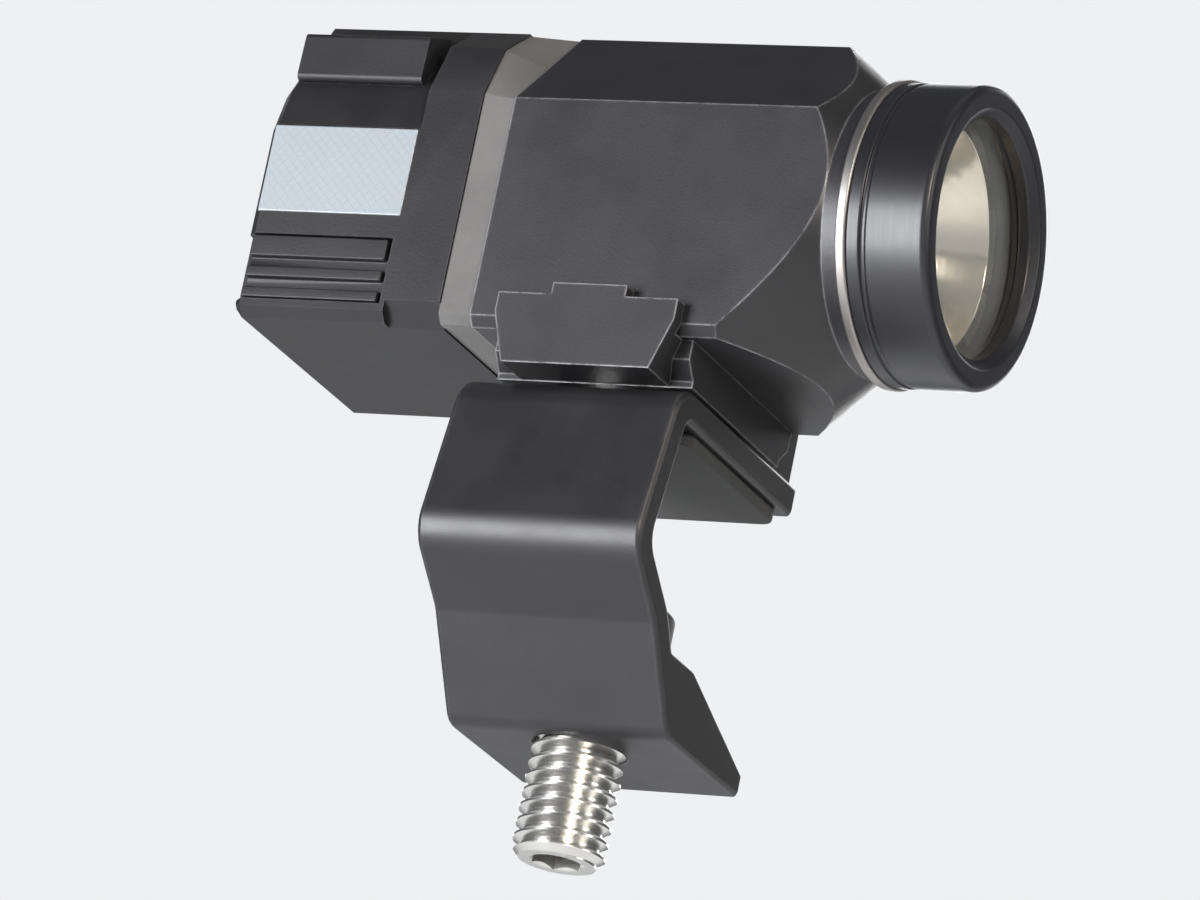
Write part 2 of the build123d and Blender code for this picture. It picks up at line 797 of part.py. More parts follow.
def contact_screws():
    screws = []
    for side in (-1, 1):
        shank = rod_x(0.85, side * post_y, axis_z, tail_board_x - tail_board - 4, tail_board_x + 0.5)
        head = rod_x(1.7, side * post_y, axis_z, tail_board_x, tail_board_x + 1.1)
        screws.append(shank + head)
    return Compound(children=screws)


def switch_body():
    front = tail_board_x - tail_board
    rear = rear_x + rocker_depth + rocker_air + 0.8
    return block((rear, -6.5, axis_z - 7.5), (front, 6.5, axis_z + 7.5))


def switch_rocker():
    """Rocker paddle with its two finger faces dished from a raised middle."""
    x_out = rear_x - rocker_proud
    x_in = rear_x + rocker_depth
    half = rocker_half_z
    points = [
        (x_in, -half * 0.55),
        (x_in - 1.5, -half),
        (rear_x - 0.3, -half),
        (x_out, -half + 1.2),
        (x_out + 0.5, 0),
        (x_out, half - 1.2),
        (rear_x - 0.3, half),
        (x_in - 1.5, half),
        (x_in, half * 0.55),
    ]
    face = Plane.XZ.offset(rocker_half_y) * Polygon(*points, align=None)
    rocker = Pos(0, 0, axis_z) * extrude(face, amount=2 * rocker_half_y, dir=(0, 1, 0))
    return rocker - rod_y(rocker_pin_r + turn_gap, rocker_pin_x, axis_z, -10, 10)


def rocker_pin():
    half = rocker_half_y + 1.8
    return rod_y(rocker_pin_r - 0.01, rocker_pin_x, axis_z, -half, half)


# ---------------------------------------------------------------- latch on the near side of the tail cover
def cover_latch():
    low_z = axis_z - latch_low
    high_z = axis_z - latch_high
    base_y = -half_width + latch_rib
    pad = block((pad_x, base_y, low_z), (flange_rear_x - 0.8, base_y + latch_thick, high_z))
    step = rib_width + rib_gap
    for low, high in ((0, rib_width), (step, step + rib_width), (2 * step, latch_low - latch_high)):
        rib_low = (pad_x + 0.4, -half_width, low_z + low)
        pad += block(rib_low, (flange_rear_x - 1.2, base_y + 0.1, low_z + high))
    arm_x = hook_x + hook_thick
    arm = block((flange_rear_x - 2.4, latch_y - 0.8, low_z), (arm_x, latch_y + 0.8, high_z))
    boss = rod_z(latch_pin_r + 1.0, latch_x, latch_y, low_z, high_z)
    hook = block((hook_x, latch_y, low_z), (arm_x, latch_y + latch_hook, high_z))
    latch = pad + arm + boss + hook
    return latch - rod_z(latch_pin_r + turn_gap, latch_x, latch_y, low_z - 1, high_z + 1)


def latch_pin():
    low = axis_z - below_axis + 0.6
    high = axis_z - latch_high + latch_ear - 0.6
    return rod_z(latch_pin_r - 0.02, latch_x, latch_y, low, high)


keep(brim_bracket(), "brim_bracket")
keep(upper_brim_pad(), "upper_brim_pad")
keep(swivel_washer(), "swivel_washer")
keep(pressure_pad(), "pressure_pad")
keep(brim_screw(), "brim_screw")
keep(rail_shoe(), "rail_shoe")
keep(swivel_clip(), "swivel_clip")
keep(clamp_jaw(), "clamp_jaw")
keep(jaw_guide_pins(), "jaw_guide_pins")
keep(clamp_screw(), "clamp_screw")
keep(lamp_body(), "lamp_body")
keep(bezel(), "bezel")
keep(bezel_ring(), "bezel_ring")
keep(lens(), "lens")
keep(lens_seal(), "lens_seal")
keep(reflector(), "reflector")
keep(led_board(), "led_board")
keep(led_emitter(), "led_emitter")
keep(heat_sink(), "heat_sink")
keep(driver_board(), "driver_board")
keep(battery(upper_z), "battery_upper")
keep(battery(lower_z), "battery_lower")
keep(front_contacts(), "front_contacts")
keep(cell_holder(), "cell_holder")
keep(tail_gasket(), "tail_gasket")
keep(hinge_pin(), "hinge_pin")
keep(tail_cover(), "tail_cover")
keep(marker_panel(-1), "marker_panel_right")
keep(marker_panel(1), "marker_panel_left")
keep(contact_board(), "contact_board")
keep(contact_springs(), "contact_springs")
keep(contact_screws(), "contact_screws")
keep(switch_body(), "switch_body")
keep(switch_rocker(), "switch_rocker")
keep(rocker_pin(), "rocker_pin")
keep(cover_latch(), "cover_latch")
keep(latch_pin(), "latch_pin")
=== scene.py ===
import bpy
import json
from math import pi, radians, sqrt
from mathutils import Matrix, Vector


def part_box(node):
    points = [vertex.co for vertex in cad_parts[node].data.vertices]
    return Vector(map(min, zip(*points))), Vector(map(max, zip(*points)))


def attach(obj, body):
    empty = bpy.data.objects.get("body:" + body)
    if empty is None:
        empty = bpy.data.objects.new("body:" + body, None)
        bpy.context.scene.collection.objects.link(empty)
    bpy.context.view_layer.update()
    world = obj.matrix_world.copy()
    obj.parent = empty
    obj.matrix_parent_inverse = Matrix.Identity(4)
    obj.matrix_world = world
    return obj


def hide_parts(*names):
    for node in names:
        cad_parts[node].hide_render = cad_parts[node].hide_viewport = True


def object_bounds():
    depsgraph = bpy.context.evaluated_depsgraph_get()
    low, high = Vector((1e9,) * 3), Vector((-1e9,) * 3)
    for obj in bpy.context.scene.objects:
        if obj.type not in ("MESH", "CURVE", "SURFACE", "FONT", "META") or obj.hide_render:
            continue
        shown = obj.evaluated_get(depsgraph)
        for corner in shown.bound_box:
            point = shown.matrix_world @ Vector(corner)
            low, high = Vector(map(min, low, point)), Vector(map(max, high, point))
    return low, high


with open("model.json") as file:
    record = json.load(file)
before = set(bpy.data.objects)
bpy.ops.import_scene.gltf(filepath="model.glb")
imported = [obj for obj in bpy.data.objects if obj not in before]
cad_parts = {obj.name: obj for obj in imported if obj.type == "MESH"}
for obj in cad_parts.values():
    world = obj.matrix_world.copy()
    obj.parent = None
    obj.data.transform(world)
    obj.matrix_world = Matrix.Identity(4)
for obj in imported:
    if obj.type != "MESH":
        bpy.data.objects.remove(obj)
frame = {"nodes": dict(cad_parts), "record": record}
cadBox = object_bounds()
nodes = frame["nodes"]
print("frame loaded:", len(nodes), "nodes")


# shader maths: an expression on sockets adds its Math nodes
class Socket:
    def __init__(self, tree, outlet):
        self.tree = tree
        self.outlet = outlet

    def maths(self, operation, first, second, clamp=False):
        node = self.tree.nodes.new("ShaderNodeMath")
        node.operation = operation
        node.use_clamp = clamp
        for place, value in enumerate((first, second)):
            if isinstance(value, Socket):
                self.tree.links.new(value.outlet, node.inputs[place])
            else:
                node.inputs[place].default_value = value
        return Socket(self.tree, node.outputs[0])

    def __add__(self, other):
        return self.maths("ADD", self, other)

    def __radd__(self, other):
        return self.maths("ADD", other, self)

    def __sub__(self, other):
        return self.maths("SUBTRACT", self, other)

    def __rsub__(self, other):
        return self.maths("SUBTRACT", other, self)

    def __mul__(self, other):
        return self.maths("MULTIPLY", self, other)

    def __rmul__(self, other):
        return self.maths("MULTIPLY", other, self)

    def __pow__(self, other):
        return self.maths("POWER", self, other)

    def above(self, edge):
        return self.maths("GREATER_THAN", self, edge)

    def below(self, edge):
        return self.maths("LESS_THAN", self, edge)

    def clamped(self):
        return self.maths("ADD", self, 0.0, clamp=True)


# a node tree; every node but the maths is added here, settings first, then its sockets
class Graph:
    def __init__(self, tree):
        self.tree = tree
        self.tree.nodes.clear()

    def add(self, kind, settings=None, sockets=None):
        node = self.tree.nodes.new(kind)
        for key, value in (settings or {}).items():
            if key == "stops":
                self.setStops(node.color_ramp, value)
            else:
                setattr(node, key, value)
        for key, value in (sockets or {}).items():
            if isinstance(value, Socket):
                self.tree.links.new(value.outlet, node.inputs[key])
            else:
                node.inputs[key].default_value = value
        return node

    def setStops(self, ramp, stops):
        for place, (position, grey) in enumerate(stops):
            stop = ramp.elements[place] if place < 2 else ramp.elements.new(position)
            stop.position = position
            stop.color = (grey, grey, grey, 1.0)

    def node(self, kind, settings=None, sockets=None, outlet=0):
        return Socket(self.tree, self.add(kind, settings, sockets).outputs[outlet])


class Finish(Graph):
    fixedSockets = {"coat": "Coat Weight", "coatRough": "Coat Roughness", "sheen": "Sheen Weight",
                    "specular": "Specular IOR Level"}

    def __init__(self, name, colour, rough, metal=0.0, **fixed):
        self.material = bpy.data.materials.new(name)
        self.material.use_nodes = True
        super().__init__(self.material.node_tree)
        self.shader = self.add("ShaderNodeBsdfPrincipled")
        self.gloss = Socket(self.tree, self.shader.outputs[0])
        self.out = self.add("ShaderNodeOutputMaterial", sockets={"Surface": self.gloss})
        self.set("Base Color", (*colour, 1.0))
        self.set("Roughness", rough)
        self.set("Metallic", metal)
        for key, value in fixed.items():
            self.set(self.fixedSockets[key], value)

    def set(self, name, value):
        inlet = self.shader.inputs[name]
        if isinstance(value, Socket):
            self.tree.links.new(value.outlet, inlet)
        else:
            inlet.default_value = value

    def place(self, scale=(1.0, 1.0, 1.0), turn=(0.0, 0.0, 0.0)):
        here = self.node("ShaderNodeTexCoord", outlet="Object")
        return self.node("ShaderNodeMapping", sockets={"Vector": here, "Scale": scale, "Rotation": turn})

    def noise(self, scale, detail=3.0, rough=0.5, at=None):
        return self.node("ShaderNodeTexNoise", sockets={
            "Vector": at or self.place(), "Scale": scale, "Detail": detail, "Roughness": rough})

    def ramp(self, value, *stops):
        return self.node("ShaderNodeValToRGB", {"stops": stops}, {"Fac": value})

    def mix(self, amount, first, second):
        sockets = {"Factor": amount}
        for place, value in ((6, first), (7, second)):  # the colour pair of the node's A and B sockets
            sockets[place] = value if isinstance(value, Socket) else (*value, 1.0)
        return self.node("ShaderNodeMix", {"data_type": "RGBA"}, sockets, outlet=2)

    def blend(self, amount, first, second):
        return first + amount * (second - first)

    # 1 along the sharp outer and inner edges, 0 on the flats
    def edges(self, reach, gain):
        soft = self.node("ShaderNodeBevel", {"samples": 6}, {"Radius": reach})
        flat = self.node("ShaderNodeNewGeometry", outlet="Normal")
        same = self.node("ShaderNodeVectorMath", {"operation": "DOT_PRODUCT"}, {0: soft, 1: flat},
                         outlet="Value")
        return ((1.0 - same) * gain).clamped()

    def bump(self, height, distance, strength=1.0):
        sockets = {"Height": height, "Distance": distance, "Strength": strength}
        return self.node("ShaderNodeBump", sockets=sockets)


def lighter(colour, times, more=0.0):
    return tuple(min(1.0, more + times * channel) for channel in colour)


# black anodising over blasted aluminium, rubbed to metal along the edges; the lighter edges are partly real wear
# and partly a painted highlight along the edges
anodised = {"colour": (0.0135, 0.013, 0.0145), "rubbedAndHighlit": (0.50, 0.50, 0.51), "rough": 0.42,
            "rubbedAndHighlitRough": 0.3, "grain": 5200.0, "grainDepth": 0.000016, "edge": 0.0004,
            "edgeGain": 9.0, "wearAndHighlight": 0.9}


def anodisedFinish(name, values=anodised):
    f = Finish(name, values["colour"], values["rough"], 0.0, specular=0.62)
    grain = f.noise(values["grain"], 2.0, 0.6)
    blotch = f.noise(90.0, 4.0, 0.6)
    scuff = f.noise(650.0, 5.0, 0.7, at=f.place((1.0, 0.35, 0.35)))
    edge = f.edges(values["edge"], values["edgeGain"])
    # painted highlight: this edge mask lightens the edges partly as wear to bare metal and partly to stand in for
    # the pale highlights along the edges
    rubbedAndHighlit = (edge * f.ramp(scuff, (0.32, 0.0), (0.56, 1.0)) * values["wearAndHighlight"]).clamped()
    dull = f.ramp(blotch, (0.3, 0.0), (0.7, 1.0))
    tone = f.mix(dull * 0.5, values["colour"], lighter(values["colour"], 1.7))
    f.set("Base Color", f.mix(rubbedAndHighlit, tone, values["rubbedAndHighlit"]))
    f.set("Metallic", rubbedAndHighlit * 0.9)
    untouched = values["rough"] - 0.06 + dull * 0.1 + (grain - 0.5) * 0.12
    f.set("Roughness", f.blend(rubbedAndHighlit, untouched, values["rubbedAndHighlitRough"]))
    f.set("Normal", f.bump(grain, values["grainDepth"]))
    return f.material


# moulded polymer with a fine spark texture, polished along the edges
polymer = {"colour": (0.013, 0.0125, 0.0135), "polished": (0.12, 0.12, 0.125), "rough": 0.5, "grain": 3400.0,
           "grainDepth": 0.00002, "edge": 0.0004, "edgeGain": 3.5}


def polymerFinish(name, values=polymer):
    f = Finish(name, values["colour"], values["rough"], specular=0.5)
    cells = f.node("ShaderNodeTexVoronoi", {"feature": "SMOOTH_F1"}, {
        "Vector": f.place(), "Scale": values["grain"]})
    fine = f.noise(values["grain"] * 1.7, 2.0, 0.6)
    cloud = f.noise(120.0, 4.0, 0.6)
    edge = f.edges(values["edge"], values["edgeGain"])
    polish = (edge * f.ramp(f.noise(500.0, 4.0, 0.6), (0.35, 0.0), (0.7, 1.0))).clamped()
    patchy = f.ramp(cloud, (0.35, 0.0), (0.7, 1.0))
    tone = f.mix(patchy * 0.6, values["colour"], lighter(values["colour"], 1.6))
    f.set("Base Color", f.mix(polish * 0.5, tone, values["polished"]))
    f.set("Roughness", values["rough"] + (cloud - 0.5) * 0.16 - polish * 0.15)
    f.set("Normal", f.bump(cells * 0.6 + fine * 0.4, values["grainDepth"]))
    return f.material


# matt elastomer, slightly chalky where it is handled
elastomer = {"gasket": (0.125, 0.122, 0.118), "pad": (0.028, 0.028, 0.028), "seal": (0.016, 0.016, 0.016),
             "rough": 0.72, "grain": 2600.0, "grainDepth": 0.00003, "edge": 0.0005, "edgeGain": 2.5}


def elastomerFinish(name, colour, values=elastomer):
    f = Finish(name, colour, values["rough"], specular=0.35, sheen=0.15)
    fine = f.noise(values["grain"], 4.0, 0.65)
    cloud = f.noise(150.0, 5.0, 0.62)
    patchy = f.ramp(cloud, (0.3, 0.0), (0.75, 1.0))
    chalk = f.edges(values["edge"], values["edgeGain"]) * patchy
    tone = f.mix(patchy * 0.7, colour, lighter(colour, 1.35))
    f.set("Base Color", f.mix(chalk * 0.4, tone, lighter(colour, 2.2)))
    f.set("Roughness", values["rough"] + (fine - 0.5) * 0.2)
    f.set("Normal", f.bump(fine, values["grainDepth"]))
    return f.material


# turned metal: tool lines run round an axis, so the noise is stretched across it
turnedMetal = {"lines": 2600.0, "across": 14.0, "depth": 0.000006, "edge": 0.00025, "edgeGain": 4.0}


def turnedFinish(name, colour, rough, metal, along, values=turnedMetal, **fixed):
    f = Finish(name, colour, rough, metal, **fixed)
    scale = tuple(values["lines"] if axis == along else values["across"] for axis in "XYZ")
    lines = f.noise(1.0, 3.0, 0.7, at=f.place(scale))
    cloud = f.noise(220.0, 5.0, 0.6)
    edge = f.edges(values["edge"], values["edgeGain"]) * f.ramp(cloud, (0.35, 0.0), (0.7, 1.0))
    handled = f.ramp(cloud, (0.3, 0.0), (0.8, 1.0))
    tone = f.mix(handled * 0.35, colour, lighter(colour, 0.72))
    f.set("Base Color", f.mix(edge.clamped() * 0.5, tone, lighter(colour, 1.25, 0.12)))
    f.set("Roughness", (rough + (lines - 0.5) * 0.12 + (cloud - 0.5) * 0.1).clamped())
    f.set("Normal", f.bump(lines, values["depth"]))
    return f.material


# prismatic marker sheet: a fine diamond net under a clear film
markerSheet = {"colour": (0.34, 0.375, 0.40), "net": (0.29, 0.325, 0.35), "cell": 1100.0, "line": 0.12,
               "lineDepth": 0.00002}


def markerFinish(values=markerSheet):
    f = Finish("markerSheet", values["colour"], 0.32, coat=0.6, coatRough=0.08)
    net = f.node("ShaderNodeTexVoronoi", {"feature": "DISTANCE_TO_EDGE"}, {
        "Vector": f.place(turn=(0.0, radians(45.0), 0.0)), "Scale": values["cell"], "Randomness": 0.15})
    line = f.ramp(net, (0.0, 1.0), (values["line"], 0.0))
    cloud = f.noise(160.0, 4.0, 0.6)
    f.set("Base Color", f.mix(line * 0.55 + cloud * 0.25, values["colour"], values["net"]))
    f.set("Roughness", 0.26 + cloud * 0.16)
    f.set("Normal", f.bump(line, values["lineDepth"], 0.5))
    return f.material


# clear glass seen as a thin sheet: it lets light through and reflects by angle
lensGlass = {"clear": (0.97, 0.97, 0.96), "glass": (0.9, 0.95, 0.96), "rough": 0.02, "smeared": 0.12,
             "faceOn": 0.03, "grazing": 0.9, "dirt": 0.02}


def glassFinish(values=lensGlass):
    f = Finish("lensGlass", values["glass"], values["rough"])
    clear = f.node("ShaderNodeBsdfTransparent", sockets={"Color": (*values["clear"], 1.0)})
    facing = f.node("ShaderNodeLayerWeight", sockets={"Blend": 0.5}, outlet="Facing")
    smear = f.noise(260.0, 5.0, 0.65)
    dirt = f.ramp(smear, (0.5, 0.0), (0.85, 1.0))
    mirror = (facing ** 5.0 * values["grazing"] + values["faceOn"] + dirt * values["dirt"]).clamped()
    sheet = f.node("ShaderNodeMixShader", sockets={0: mirror, 1: clear, 2: f.gloss})
    f.tree.links.new(sheet.outlet, f.out.inputs["Surface"])
    f.set("Roughness", values["rough"] + f.ramp(smear, (0.45, 0.0), (0.8, 1.0)) * values["smeared"])
    return f.material


# vacuum metallised bowl, with the faint dimples of its moulding
reflectorCoat = {"bright": (0.96, 0.89, 0.78), "dull": (0.86, 0.72, 0.62), "rough": 0.1, "dimple": 900.0,
                 "dimpleDepth": 0.00002}


def reflectorFinish(values=reflectorCoat):
    f = Finish("reflectorCoat", values["bright"], values["rough"], 1.0)
    dimple = f.node("ShaderNodeTexVoronoi", {"feature": "SMOOTH_F1"}, {
        "Vector": f.place(), "Scale": values["dimple"]})
    cloud = f.noise(240.0, 3.0, 0.5)
    patchy = f.ramp(cloud, (0.35, 0.0), (0.75, 1.0))
    f.set("Base Color", f.mix(patchy * 0.5, values["bright"], values["dull"]))
    f.set("Roughness", values["rough"] + cloud * 0.1)
    f.set("Normal", f.bump(dimple, values["dimpleDepth"], 0.7))
    return f.material


# the light source, lit
phosphor = {"light": (0.90, 0.80, 0.26), "deep": (0.78, 0.64, 0.16), "rough": 0.35, "grainDepth": 0.00001,
            "glow": (1.0, 0.86, 0.62), "strength": 9.0}


def emitterFinish(values=phosphor):
    f = Finish("emitterPhosphor", values["light"], values["rough"], coat=0.8)
    grain = f.ramp(f.noise(2600.0, 3.0, 0.6), (0.3, 0.0), (0.7, 1.0))
    f.set("Base Color", f.mix(grain, values["light"], values["deep"]))
    f.set("Normal", f.bump(f.noise(1800.0, 2.0, 0.5), values["grainDepth"]))
    f.set("Emission Color", (*values["glow"], 1.0))
    f.set("Emission Strength", values["strength"])
    return f.material


# solder resist over copper tracks, on a board that faces along X
board = {"colour": (0.02, 0.11, 0.055), "rough": 0.34, "tracks": 420.0, "gap": 0.03, "trackDepth": 0.00002}


def boardFinish(name, values=board):
    f = Finish(name, values["colour"], values["rough"], coat=0.3)
    tracks = f.node("ShaderNodeTexBrick", {"offset": 0.5}, {
        "Vector": f.place(turn=(0.0, radians(90.0), 0.0)), "Scale": values["tracks"],
        "Mortar Size": values["gap"], "Mortar Smooth": 0.4}, outlet="Fac")
    f.set("Base Color", f.mix(tracks * 0.6, values["colour"], lighter(values["colour"], 1.9)))
    f.set("Roughness", values["rough"] + f.noise(800.0, 3.0, 0.6) * 0.14)
    f.set("Normal", f.bump(tracks, values["trackDepth"]))
    return f.material


# shrink film on the cell, with bare metal at its two ends
cellWrap = {"film": (0.045, 0.075, 0.105), "metal": (0.72, 0.71, 0.69), "end": 0.0009, "rough": 0.26,
            "wrinkleDepth": 0.00006}


def cellFinish(values=cellWrap):
    low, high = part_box("battery_upper")
    f = Finish("cellWrap", values["film"], values["rough"], coat=0.4)
    x = f.node("ShaderNodeSeparateXYZ", sockets={"Vector": f.place()})
    bare = (x.below(low.x + values["end"]) + x.above(high.x - values["end"])).clamped()
    wrinkle = f.noise(420.0, 4.0, 0.55, at=f.place((0.35, 1.0, 1.0)))
    film = f.mix(wrinkle * 0.5, values["film"], lighter(values["film"], 1.8))
    f.set("Base Color", f.mix(bare, film, values["metal"]))
    f.set("Metallic", bare)
    f.set("Roughness", values["rough"] + wrinkle * 0.2)
    f.set("Normal", f.bump(wrinkle, values["wrinkleDepth"], 0.6))
    return f.material


greyPolymer = {**polymer, "colour": (0.10, 0.10, 0.105), "rough": 0.55, "grain": 2600.0}
finishes = {
    "anodised_black": anodisedFinish("anodisedBlack"),
    "bezel_black": turnedFinish("bezelBlack", (0.010, 0.010, 0.013), 0.38, 0.0, "X",
                                coat=0.12, coatRough=0.2, specular=0.6),
    "ring_silver": turnedFinish("ringSilver", (0.40, 0.38, 0.365), 0.42, 1.0, "X"),
    "polymer_black": polymerFinish("polymerBlack"),
    "gasket_grey": elastomerFinish("gasketGrey", elastomer["gasket"]),
    "marker_pale": markerFinish(),
    "lens_clear": glassFinish(),
    "reflector_silver": reflectorFinish(),
    "stainless": turnedFinish("stainless", (0.76, 0.75, 0.72), 0.26, 1.0, "Z"),
    "spring_steel": turnedFinish("springSteel", (0.66, 0.60, 0.44), 0.22, 1.0, "X"),
    "pad_rubber": elastomerFinish("padRubber", elastomer["pad"]),
    "seal_rubber": elastomerFinish("sealRubber", elastomer["seal"]),
    "heat_sink_metal": turnedFinish("heatSinkMetal", (0.66, 0.66, 0.67), 0.3, 1.0, "X"),
    "circuit_green": boardFinish("circuitGreen"),
    "emitter_yellow": emitterFinish(),
    "contact_brass": turnedFinish("contactBrass", (0.78, 0.60, 0.30), 0.22, 1.0, "X"),
    "cell_wrap": cellFinish(),
    "holder_grey": polymerFinish("holderGrey", greyPolymer),
}
slotOf = {row["node"]: row["material_slot"] for row in frame["record"]["subparts"]}
for name, node in nodes.items():
    node.data.materials.clear()
    node.data.materials.append(finishes[slotOf[name]])
print("finishes:", len(finishes))


# modelling helpers; weld is how near two points are to be one
weld = {"copied": 0.000002, "spun": 0.000005, "swept": 0.000002, "thread": 0.000003}
bodyOf = {node: body for body, members in frame["record"]["behaviour"]["bodies"].items() for node in members}


def only(piece):
    bpy.ops.object.select_all(action="DESELECT")
    piece.select_set(True)
    bpy.context.view_layer.objects.active = piece


def edit(piece, *steps):
    only(piece)
    bpy.ops.object.mode_set(mode="EDIT")
    bpy.ops.mesh.select_all(action="SELECT")
    for step in steps:
        step()
    bpy.ops.object.mode_set(mode="OBJECT")


def modify(piece, kind, **settings):
    only(piece)
    modifier = piece.modifiers.new(kind.lower(), kind)
    for key, value in settings.items():
        setattr(modifier, key, value)
    bpy.ops.object.modifier_apply(modifier=modifier.name)


def settle(piece, name, nodeName, body, angle=35.0):
    piece.name = name
    piece.data.name = name
    only(piece)
    bpy.ops.object.transform_apply(location=True, rotation=True, scale=True)
    bpy.ops.object.shade_smooth_by_angle(angle=radians(angle))
    piece.data.materials.clear()
    piece.data.materials.append(finishes[slotOf[nodeName]])
    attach(piece, body)
    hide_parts(nodeName)


def cutter(kind, **settings):
    bpy.ops.object.select_all(action="DESELECT")
    getattr(bpy.ops.mesh, kind)(**settings)
    return bpy.context.active_object


def joinSolid(piece, other, operation):
    modify(piece, "BOOLEAN", object=other, operation=operation, solver="EXACT")
    bpy.data.objects.remove(other, do_unlink=True)


# a copy of a machined or moulded shape, welded, with its sharp edges broken
def brokenEdges(nodeName, name, width, segments=2, angle=28.0, smooth=40.0):
    piece = bpy.data.objects.new(name, nodes[nodeName].data.copy())
    bpy.context.scene.collection.objects.link(piece)
    edit(piece, lambda: bpy.ops.mesh.remove_doubles(threshold=weld["copied"]),
         lambda: bpy.ops.mesh.dissolve_limited(angle_limit=radians(0.5)))
    modify(piece, "BEVEL", width=width, segments=segments, limit_method="ANGLE", angle_limit=radians(angle),
           harden_normals=False, use_clamp_overlap=True, miter_outer="MITER_ARC")
    settle(piece, name, nodeName, bodyOf[nodeName], smooth)
    modify(piece, "WEIGHTED_NORMAL", weight=80, keep_sharp=True)


# one vertex extruded from point to point
def drawn(points):
    bpy.ops.object.select_all(action="DESELECT")
    bpy.ops.mesh.primitive_plane_add(size=0.001, location=points[0])
    piece = bpy.context.active_object
    edit(piece, lambda: bpy.ops.mesh.merge(type="CENTER"))
    bpy.ops.object.mode_set(mode="EDIT")
    for before, after in zip(points, points[1:]):
        bpy.ops.mesh.extrude_vertices_move(TRANSFORM_OT_translate={"value": after - before})
    bpy.ops.object.mode_set(mode="OBJECT")
    bpy.ops.object.transform_apply(location=True, rotation=True, scale=True)
    return piece


# a closed (x, radius) outline spun round the lens axis, with its corners rounded
def spunPiece(nodeName, outline, rounding=0.0002, steps=144, segments=3, angle=22.0):
    low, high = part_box(nodeName)
    axis = (low + high) / 2
    piece = drawn([Vector((x, axis.y, axis.z + radius)) for x, radius in outline + outline[:1]])
    edit(piece, lambda: bpy.ops.mesh.remove_doubles(threshold=weld["spun"]),
         lambda: bpy.ops.mesh.select_all(action="SELECT"),
         lambda: bpy.ops.mesh.spin(steps=steps, angle=2 * pi, center=(0.0, axis.y, axis.z),
                                   axis=(1.0, 0.0, 0.0)),
         lambda: bpy.ops.mesh.select_all(action="SELECT"),
         lambda: bpy.ops.mesh.remove_doubles(threshold=weld["spun"]),
         lambda: bpy.ops.mesh.normals_make_consistent(inside=False))
    modify(piece, "BEVEL", width=rounding, segments=segments, limit_method="ANGLE",
           angle_limit=radians(angle))
    settle(piece, nodeName + ".finished", nodeName, bodyOf[nodeName], 30.0)
    modify(piece, "WEIGHTED_NORMAL", weight=60, keep_sharp=True)


# bezel: funnel and lip go back from the front face, mouth, bore and groove in from the rim;
# grooveBack is from the rear face, and the last three are shares of the rim's round and the funnel
bezel = {"rimRound": 0.0007, "mouth": 0.0038, "funnel": 0.0012, "lip": 0.0024, "bore": 0.0023,
         "groove": 0.00035, "grooveBack": 0.0016, "grooveWide": 0.0006, "grooveSlope": 0.0001,
         "broken": 0.00022, "roundEnd": 1.2, "roundMiddle": 0.35, "funnelBack": 0.8}
low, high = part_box("bezel")
front, rear, rim = high.x, low.x, (high.y - low.y) / 2
grooveAt = rear + bezel["grooveBack"]
grooveIn = grooveAt + bezel["grooveSlope"]
grooveOut = grooveIn + bezel["grooveWide"]
spunPiece("bezel", [
    (rear, rim),
    (grooveAt, rim),
    (grooveIn, rim - bezel["groove"]),
    (grooveOut, rim - bezel["groove"]),
    (grooveOut + bezel["grooveSlope"], rim),
    (front - bezel["rimRound"] * bezel["roundEnd"], rim),
    (front - bezel["rimRound"] * bezel["roundMiddle"], rim - bezel["rimRound"] * bezel["roundMiddle"]),
    (front, rim - bezel["rimRound"] * bezel["roundEnd"]),
    (front, rim - bezel["mouth"] + bezel["funnel"]),
    (front - bezel["funnel"] * bezel["funnelBack"], rim - bezel["mouth"]),
    (front - bezel["lip"], rim - bezel["mouth"]),
    (front - bezel["lip"], rim - bezel["bore"]),
    (rear, rim - bezel["bore"]),
], bezel["broken"])

ring = {"wall": 0.0026, "round": 0.0003}
low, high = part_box("bezel_ring")
ringIn = high.y - ring["wall"]
ringOutline = [(low.x, high.y), (high.x, high.y), (high.x, ringIn), (low.x, ringIn)]
spunPiece("bezel_ring", ringOutline, ring["round"], segments=4)

lens = {"dome": 0.00045, "domeRadius": 0.0135, "domeSteps": 8, "broken": 0.0001}
low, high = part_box("lens")
front, rear, rim = high.x, low.x, high.y
domeShares = [step / lens["domeSteps"] for step in range(lens["domeSteps"] + 1)]
domePoints = [(front - lens["dome"] * share ** 2, lens["domeRadius"] * share) for share in domeShares]
lensOutline = [(rear, 0.0)] + domePoints + [(front - lens["dome"], rim), (rear, rim)]
spunPiece("lens", lensOutline, lens["broken"], steps=128, segments=2, angle=40.0)

# a parabola from the mouth to the eye round the light source
bowl = {"mouth": 0.0134, "eye": 0.0034, "wall": 0.0003, "flange": 0.001, "flangeWide": 0.0016,
        "steps": 24, "broken": 0.00008}
low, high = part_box("reflector")
front, rear, rim = high.x, low.x, high.y
reach = [bowl["mouth"] + (bowl["eye"] - bowl["mouth"]) * step / bowl["steps"]
         for step in range(bowl["steps"] + 1)]
deepest = bowl["mouth"] ** 2 - bowl["eye"] ** 2
share = [(bowl["mouth"] ** 2 - radius ** 2) / deepest for radius in reach]
behind = front - bowl["flange"]
inner = [(front - part * (front - rear), radius) for part, radius in zip(share, reach)]
outer = [(behind - part * (behind - rear), radius + bowl["wall"]) for part, radius in zip(share, reach)]
flange = [(behind, rim - bowl["flangeWide"]), (behind, rim), (front, rim)]
spunPiece("reflector", inner + outer[::-1] + flange, bowl["broken"], steps=128, segments=2, angle=50.0)
print("head spun")


